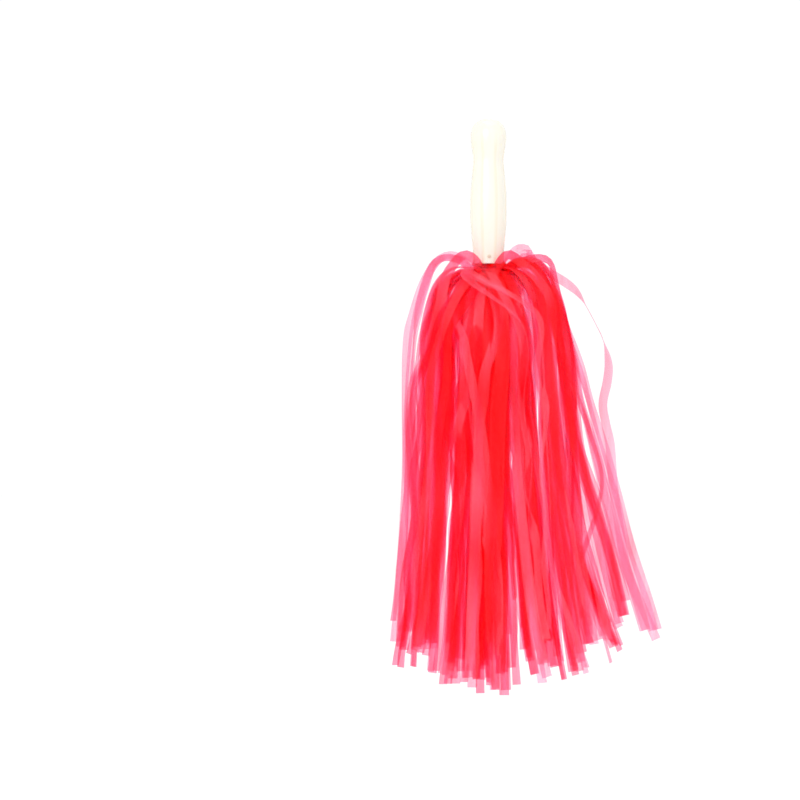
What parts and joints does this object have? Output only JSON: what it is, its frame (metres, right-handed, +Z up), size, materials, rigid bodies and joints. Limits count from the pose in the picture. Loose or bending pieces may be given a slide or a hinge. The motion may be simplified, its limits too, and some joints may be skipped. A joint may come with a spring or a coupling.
{
  "type": "cheer pom pom",
  "caption": "Hand-held cheer pom pom: a glossy ivory baton handle with a hanging skirt of red see-through plastic film streamers.",
  "frame": {"origin": "middle of the grip, on the handle's axis", "axes": "+Z up along the handle away from the streamers, +X towards the side where the streamers flare most, -Y the front with the nail head"},
  "size_m": [0.1886, 0.156, 0.4043],
  "materials": {
    "ivory_plastic": "smooth glossy ivory, blow-moulded",
    "plug_wood": "plain dowel",
    "header_film": "wound plastic film",
    "binding_tape": "cloth tape",
    "tie_wire_steel": "soft steel wire",
    "nail_steel": "plain steel",
    "crown_film": "glossy see-through film, mostly air",
    "tassel_film": "glossy see-through film, mostly air",
    "outer_film": "glossy see-through film, mostly air",
    "inner_film": "glossy see-through film, mostly air"
  },
  "bodies": {
    "handle": {"handle": "ivory_plastic", "core_plug": "plug_wood", "header_inner": "header_film", "header_middle": "header_film", "header_outer": "header_film", "binding_tape": "binding_tape", "tie_wire": "tie_wire_steel", "retaining_nail": "nail_steel", "crown": "crown_film", "core_tassel": "tassel_film"},
    "outer_01": {"outer_lock_01": "outer_film"},
    "inner_01": {"inner_lock_01": "inner_film"},
    "outer_02": {"outer_lock_02": "outer_film"},
    "inner_02": {"inner_lock_02": "inner_film"},
    "outer_03": {"outer_lock_03": "outer_film"},
    "inner_03": {"inner_lock_03": "inner_film"},
    "outer_04": {"outer_lock_04": "outer_film"},
    "inner_04": {"inner_lock_04": "inner_film"},
    "outer_05": {"outer_lock_05": "outer_film"},
    "inner_05": {"inner_lock_05": "inner_film"},
    "outer_06": {"outer_lock_06": "outer_film"},
    "inner_06": {"inner_lock_06": "inner_film"},
    "outer_07": {"outer_lock_07": "outer_film"},
    "inner_07": {"inner_lock_07": "inner_film"},
    "outer_08": {"outer_lock_08": "outer_film"},
    "inner_08": {"inner_lock_08": "inner_film"},
    "outer_09": {"outer_lock_09": "outer_film"},
    "inner_09": {"inner_lock_09": "inner_film"},
    "outer_10": {"outer_lock_10": "outer_film"},
    "inner_10": {"inner_lock_10": "inner_film"},
    "outer_11": {"outer_lock_11": "outer_film"},
    "inner_11": {"inner_lock_11": "inner_film"},
    "outer_12": {"outer_lock_12": "outer_film"},
    "inner_12": {"inner_lock_12": "inner_film"}
  },
  "joints": [
    {"name": "outer_lift_01", "type": "hinge", "parent": "handle", "child": "outer_01", "pos_m": [0.03, 0, -0.05], "axis": [0, -1, 0], "range_deg": [0, 65]},
    {"name": "inner_lift_01", "type": "hinge", "parent": "handle", "child": "inner_01", "pos_m": [0.012, 0, -0.06], "axis": [0, -1, 0], "range_deg": [0, 26]},
    {"name": "outer_lift_02", "type": "hinge", "parent": "handle", "child": "outer_02", "pos_m": [0.02598, 0.015, -0.05112], "axis": [0.5, -0.866, 0], "range_deg": [0, 65]},
    {"name": "inner_lift_02", "type": "hinge", "parent": "handle", "child": "inner_02", "pos_m": [0.01039, 0.006, -0.06], "axis": [0.5, -0.866, 0], "range_deg": [0, 26]},
    {"name": "outer_lift_03", "type": "hinge", "parent": "handle", "child": "outer_03", "pos_m": [0.015, 0.02598, -0.05337], "axis": [0.866, -0.5, 0], "range_deg": [0, 65]},
    {"name": "inner_lift_03", "type": "hinge", "parent": "handle", "child": "inner_03", "pos_m": [0.006, 0.01039, -0.06], "axis": [0.866, -0.5, 0], "range_deg": [0, 26]},
    {"name": "outer_lift_04", "type": "hinge", "parent": "handle", "child": "outer_04", "pos_m": [0, 0.03, -0.0545], "axis": [1, 0, 0], "range_deg": [0, 65]},
    {"name": "inner_lift_04", "type": "hinge", "parent": "handle", "child": "inner_04", "pos_m": [0, 0.012, -0.06], "axis": [1, 0, 0], "range_deg": [0, 26]},
    {"name": "outer_lift_05", "type": "hinge", "parent": "handle", "child": "outer_05", "pos_m": [-0.015, 0.02598, -0.05337], "axis": [0.866, 0.5, 0], "range_deg": [0, 65]},
    {"name": "inner_lift_05", "type": "hinge", "parent": "handle", "child": "inner_05", "pos_m": [-0.006, 0.01039, -0.06], "axis": [0.866, 0.5, 0], "range_deg": [0, 26]},
    {"name": "outer_lift_06", "type": "hinge", "parent": "handle", "child": "outer_06", "pos_m": [-0.02598, 0.015, -0.05112], "axis": [0.5, 0.866, 0], "range_deg": [0, 65]},
    {"name": "inner_lift_06", "type": "hinge", "parent": "handle", "child": "inner_06", "pos_m": [-0.01039, 0.006, -0.06], "axis": [0.5, 0.866, 0], "range_deg": [0, 26]},
    {"name": "outer_lift_07", "type": "hinge", "parent": "handle", "child": "outer_07", "pos_m": [-0.03, 0, -0.05], "axis": [0, 1, 0], "range_deg": [0, 65]},
    {"name": "inner_lift_07", "type": "hinge", "parent": "handle", "child": "inner_07", "pos_m": [-0.012, 0, -0.06], "axis": [0, 1, 0], "range_deg": [0, 26]},
    {"name": "outer_lift_08", "type": "hinge", "parent": "handle", "child": "outer_08", "pos_m": [-0.02598, -0.015, -0.05112], "axis": [-0.5, 0.866, 0], "range_deg": [0, 65]},
    {"name": "inner_lift_08", "type": "hinge", "parent": "handle", "child": "inner_08", "pos_m": [-0.01039, -0.006, -0.06], "axis": [-0.5, 0.866, 0], "range_deg": [0, 26]},
    {"name": "outer_lift_09", "type": "hinge", "parent": "handle", "child": "outer_09", "pos_m": [-0.015, -0.02598, -0.05337], "axis": [-0.866, 0.5, 0], "range_deg": [0, 65]},
    {"name": "inner_lift_09", "type": "hinge", "parent": "handle", "child": "inner_09", "pos_m": [-0.006, -0.01039, -0.06], "axis": [-0.866, 0.5, 0], "range_deg": [0, 26]},
    {"name": "outer_lift_10", "type": "hinge", "parent": "handle", "child": "outer_10", "pos_m": [0, -0.03, -0.0545], "axis": [-1, 0, 0], "range_deg": [0, 65]},
    {"name": "inner_lift_10", "type": "hinge", "parent": "handle", "child": "inner_10", "pos_m": [0, -0.012, -0.06], "axis": [-1, 0, 0], "range_deg": [0, 26]},
    {"name": "outer_lift_11", "type": "hinge", "parent": "handle", "child": "outer_11", "pos_m": [0.015, -0.02598, -0.05337], "axis": [-0.866, -0.5, 0], "range_deg": [0, 65]},
    {"name": "inner_lift_11", "type": "hinge", "parent": "handle", "child": "inner_11", "pos_m": [0.006, -0.01039, -0.06], "axis": [-0.866, -0.5, 0], "range_deg": [0, 26]},
    {"name": "outer_lift_12", "type": "hinge", "parent": "handle", "child": "outer_12", "pos_m": [0.02598, -0.015, -0.05112], "axis": [-0.5, -0.866, 0], "range_deg": [0, 65]},
    {"name": "inner_lift_12", "type": "hinge", "parent": "handle", "child": "inner_12", "pos_m": [0.01039, -0.006, -0.06], "axis": [-0.5, -0.866, 0], "range_deg": [0, 26]}
  ],
  "couplings": [
    {"joint": "inner_lift_01", "follows": "outer_lift_01", "ratio": 0.4},
    {"joint": "inner_lift_02", "follows": "outer_lift_02", "ratio": 0.4},
    {"joint": "inner_lift_03", "follows": "outer_lift_03", "ratio": 0.4},
    {"joint": "inner_lift_04", "follows": "outer_lift_04", "ratio": 0.4},
    {"joint": "inner_lift_05", "follows": "outer_lift_05", "ratio": 0.4},
    {"joint": "inner_lift_06", "follows": "outer_lift_06", "ratio": 0.4},
    {"joint": "inner_lift_07", "follows": "outer_lift_07", "ratio": 0.4},
    {"joint": "inner_lift_08", "follows": "outer_lift_08", "ratio": 0.4},
    {"joint": "inner_lift_09", "follows": "outer_lift_09", "ratio": 0.4},
    {"joint": "inner_lift_10", "follows": "outer_lift_10", "ratio": 0.4},
    {"joint": "inner_lift_11", "follows": "outer_lift_11", "ratio": 0.4},
    {"joint": "inner_lift_12", "follows": "outer_lift_12", "ratio": 0.4}
  ]
}
